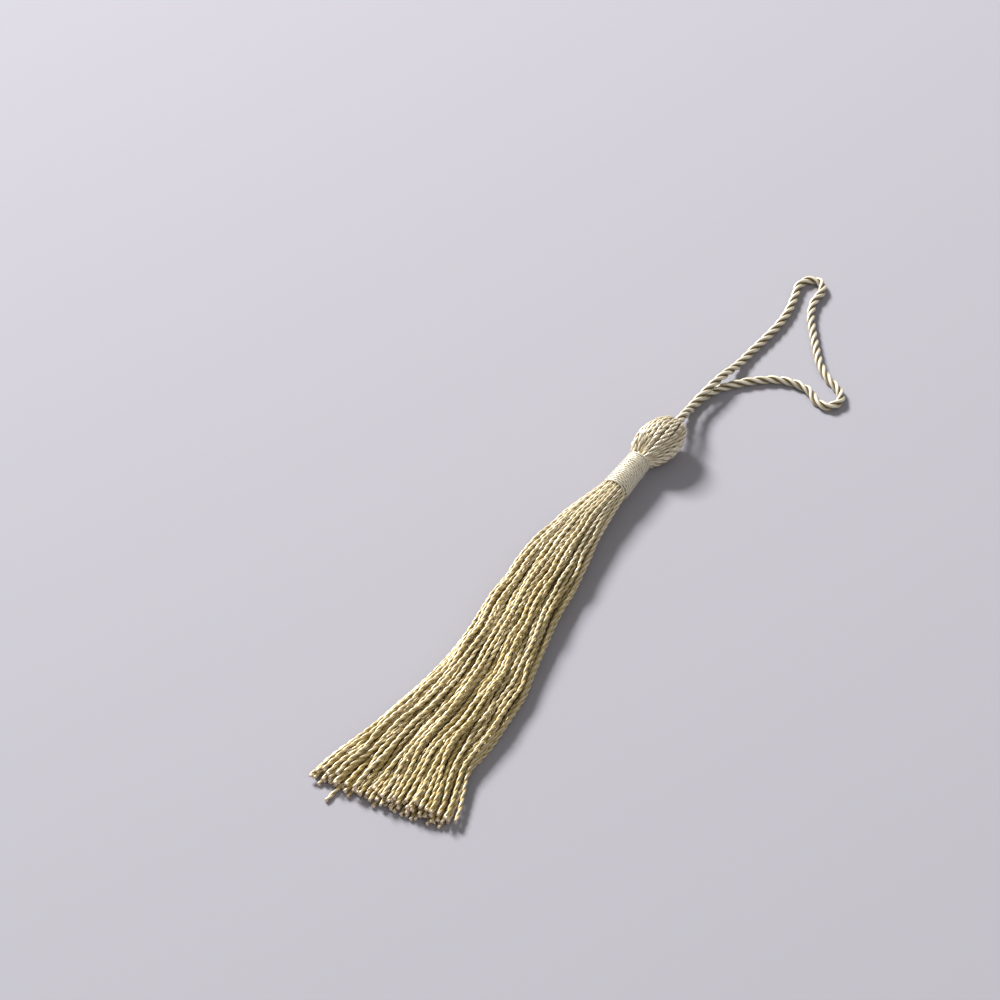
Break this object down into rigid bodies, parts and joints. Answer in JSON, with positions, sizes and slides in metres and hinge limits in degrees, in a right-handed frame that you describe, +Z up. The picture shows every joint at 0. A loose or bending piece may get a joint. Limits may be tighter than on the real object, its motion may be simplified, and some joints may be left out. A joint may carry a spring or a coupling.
{
  "type": "silk tassel with hanging loop",
  "caption": "Champagne silk tassel lying flat: folded strand head, thread-bound neck, long loose skirt and a twisted cord hanging loop.",
  "frame": {"origin": "middle of the bounding box of the tassel's body (head, binding and skirt, without the cord loop), on the surface it lies on", "axes": "+Y from the cut ends towards the head along the tassel; +Z up from the surface; +X across the skirt, to the right when seen from above with the head away"},
  "size_m": [0.0473, 0.1988, 0.0097],
  "materials": {
    "silk_strands": "silky twisted yarn",
    "silk_thread": "silky wound thread",
    "silk_cord": "silky laid cord"
  },
  "bodies": {
    "root": {"strand_bundle": "silk_strands", "neck_binding": "silk_thread", "cord_loop": "silk_cord"}
  },
  "joints": []
}
